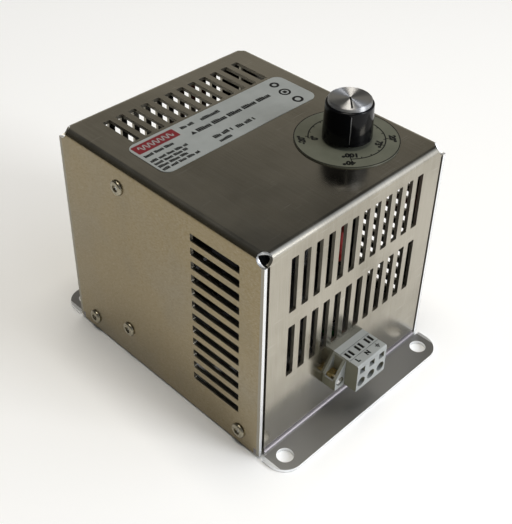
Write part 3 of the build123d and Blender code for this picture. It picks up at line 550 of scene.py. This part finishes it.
def make_label_print():
    """The label's red block, rows of plain strokes and plain marks."""
    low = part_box("rating_label")[1].z
    high = low + PRINT
    band = bmesh.new()
    raise_shape(band, rounded_corners(-40.4 * MM, -19.6 * MM, 19.3 * MM, 25.1 * MM, 0.5 * MM), low, high)
    finish_piece("label_band", band, label_red, "housing")
    pale = bmesh.new()
    wave_line(pale, -38.4 * MM, -21.6 * MM, 22.2 * MM, 1.5 * MM, high, high + PRINT / 2)
    finish_piece("label_band_strokes", pale, finishes["label_film"], "housing")
    ink = bmesh.new()
    greek_line(ink, -40.2 * MM, -25.0 * MM, 16.7 * MM, 1.5 * MM, low, high, 0.72 * MM, 7)
    for row, end in enumerate((-22.2, -24.0, -26.0, -21.6)):
        y = (12.6 - 2.35 * row) * MM
        greek_line(ink, -40.6 * MM, end * MM, y, 1.35 * MM, low, high, 0.68 * MM, 6 + row % 3)
    greek_line(ink, -16.8 * MM, -9.0 * MM, 22.6 * MM, 1.5 * MM, low, high, 0.75 * MM, 5)
    greek_line(ink, -6.5 * MM, 4.0 * MM, 22.2 * MM, 1.7 * MM, low, high, 0.85 * MM, 30)
    greek_line(ink, -13.2 * MM, 29.7 * MM, 16.9 * MM, 2.1 * MM, low, high, 1.05 * MM, 8)
    greek_line(ink, -11.7 * MM, -1.6 * MM, 8.8 * MM, 1.8 * MM, low, high, 0.9 * MM, 5)
    greek_line(ink, 0.2 * MM, 11.0 * MM, 8.3 * MM, 1.8 * MM, low, high, 0.9 * MM, 5)
    greek_line(ink, -11.8 * MM, -5.4 * MM, 5.3 * MM, 1.4 * MM, low, high, 0.8 * MM, 12)
    raise_shape(ink, ((-16.4 * MM, 16.0 * MM), (-13.8 * MM, 16.0 * MM), (-15.1 * MM, 18.2 * MM)), low, high)
    raise_arc(ink, Vector((35.4, 21.5)) * MM, 1.6 * MM, 0.0, 360.0, 1.1 * MM, low, high, 32)
    raise_arc(ink, Vector((34.4, 14.4)) * MM, 2.2 * MM, 0.0, 360.0, 0.9 * MM, low, high, 32)
    raise_shape(ink, rounded_corners(33.5 * MM, 35.3 * MM, 13.5 * MM, 15.3 * MM, 0.4 * MM), low, high)
    raise_arc(ink, Vector((34.1, 6.6)) * MM, 1.9 * MM, 0.0, 360.0, 1.1 * MM, low, high, 32)
    finish_piece("label_strokes", ink, label_ink, "housing")


make_label_print()


# ---------------------------------------------------------------- terminal marks

POLES = (-6.0, 0.0, 6.0)
SLIT_OFFSETS = (-1.1, 1.1)


def make_terminal_marks_and_slit_shade():
    """Line, neutral and earth marks on the terminal block's top, and black bars in its slits as painted shade."""
    mesh = bmesh.new()
    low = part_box("terminal_block_body")[1].z
    high = low + PRINT
    y = -67.3 * MM
    size = 2.8 * MM
    raise_text(mesh, "L", size, (POLES[0] * MM, y), 0.0, low, high)
    raise_text(mesh, "N", size, (POLES[1] * MM, y), 0.0, low, high)
    x = POLES[2] * MM
    raise_bar(mesh, (x, y + 1.1 * MM), (x, y + 0.2 * MM), TICK_WIDTH, low, high)
    for half, level in ((1.1, 0.05), (0.7, -0.5), (0.3, -1.05)):
        bar_y = y + level * MM
        raise_bar(mesh, (x - half * MM, bar_y), (x + half * MM, bar_y), TICK_WIDTH, low, high)
    # Painted shade: black bars sunk in the slits stand for the dark inside them.
    slit_front = -64.35 * MM
    slit_back = -61.15 * MM
    slit_width = 1.15 * MM
    for middle in POLES:
        for offset in SLIT_OFFSETS:
            x = (middle + offset) * MM
            raise_bar(mesh, (x, slit_front), (x, slit_back), slit_width, low - 1.4 * MM, low - 0.35 * MM)
    finish_piece("terminal_marks_and_slit_shade", mesh, finishes["pointer_black"], "housing")


make_terminal_marks_and_slit_shade()


# ---------------------------------------------------------------- floor, light and camera

def make_floor():
    """A plain pale floor under the feet."""
    mesh = bmesh.new()
    half = 3.0
    level = -0.1 * MM
    corners = ((-1, -1), (1, -1), (1, 1), (-1, 1))
    mesh.faces.new([mesh.verts.new((x * half, y * half, level)) for x, y in corners])
    data = bpy.data.meshes.new("floor")
    mesh.to_mesh(data)
    mesh.free()
    material, tree, shader = start_material("floor")
    soft = noise(tree, part_coords(tree), 3.0, 2.0)
    tone = blend_colours(tree, soft, (0.98, 0.98, 0.975), (0.96, 0.96, 0.955))
    tree.links.new(tone, shader.inputs["Base Color"])
    shader.inputs["Roughness"].default_value = 0.75
    shader.inputs["Specular IOR Level"].default_value = 0.1
    data.materials.append(material)
    floor = bpy.data.objects.new("floor", data)
    bpy.context.scene.collection.objects.link(floor)


make_floor()


WORLD_DARK = (0.066, 0.068, 0.068)
WORLD_PALE = (0.4, 0.38, 0.335)
WINDOW_WAY = (0.5, -0.78, 0.38)
WINDOW_COLOUR = (1.15, 1.25, 1.45)


def make_world():
    """Surroundings: dark overhead and at the left, pale low at the right, brightest at the front right."""
    world = bpy.data.worlds.new("studio")
    bpy.context.scene.world = world
    world.use_nodes = True
    tree = world.node_tree
    background = tree.nodes["Background"]
    way = add(tree, "ShaderNodeTexCoord").outputs["Generated"]
    split = add(tree, "ShaderNodeSeparateXYZ", {"Vector": way})
    low = spread(tree, split.outputs["Z"], 0.41, 0.65, 1.0, 0.0)
    right = spread(tree, split.outputs["X"], -0.5, 0.4)
    band = add(tree, "ShaderNodeMath", {0: low, 1: right}, operation="MULTIPLY").outputs[0]
    tone = blend_colours(tree, band, WORLD_DARK, WORLD_PALE)
    toward = add(tree, "ShaderNodeVectorMath", {
        0: way, 1: WINDOW_WAY}, operation="DOT_PRODUCT").outputs["Value"]
    glow = spread(tree, toward, 0.62, 1.0)
    tone = blend_colours(tree, glow, tone, WINDOW_COLOUR, "ADD")
    tree.links.new(tone, background.inputs["Color"])
    background.inputs["Strength"].default_value = 1.0


make_world()

TARGET = Vector((0.0, 0.0, 0.05))


def add_softbox(name, direction, distance, size, power, colour):
    """A square area light that faces the part."""
    light = bpy.data.lights.new(name, "AREA")
    light.shape = "SQUARE"
    light.size = size
    light.energy = power
    light.color = colour
    lamp = bpy.data.objects.new(name, light)
    way = Vector(direction).normalized()
    lamp.location = TARGET + way * distance
    lamp.rotation_mode = "QUATERNION"
    lamp.rotation_quaternion = (-way).to_track_quat("-Z", "Y")
    bpy.context.scene.collection.objects.link(lamp)


add_softbox("key", (0.3, -0.86, 0.42), 1.5, 0.55, 10.5, (0.96, 0.98, 1.0))
add_softbox("over", (0.0, 0.0, 1.0), 1.5, 0.7, 14.5, (1.0, 0.955, 0.87))

camera_data = bpy.data.cameras.new("camera")
camera_data.lens = 64.37
camera_data.sensor_width = 36.0
camera_data.shift_y = -0.0687
camera_data.clip_start = 0.02
camera_data.clip_end = 20.0
camera = bpy.data.objects.new("camera", camera_data)
bpy.context.scene.collection.objects.link(camera)
CAMERA_RIGHT = Vector((0.70447, -0.70951, 0.01789))
CAMERA_UP = Vector((0.42477, 0.44168, 0.79025))
CAMERA_BACK = Vector((-0.56859, -0.54911, 0.61252))
turn = Matrix((CAMERA_RIGHT, CAMERA_UP, CAMERA_BACK)).transposed()
camera.rotation_mode = "QUATERNION"
camera.rotation_quaternion = turn.to_quaternion()
camera.location = (-0.22263, -0.21875, 0.29874)
bpy.context.scene.camera = camera

bpy.context.scene.view_settings.view_transform = "Standard"
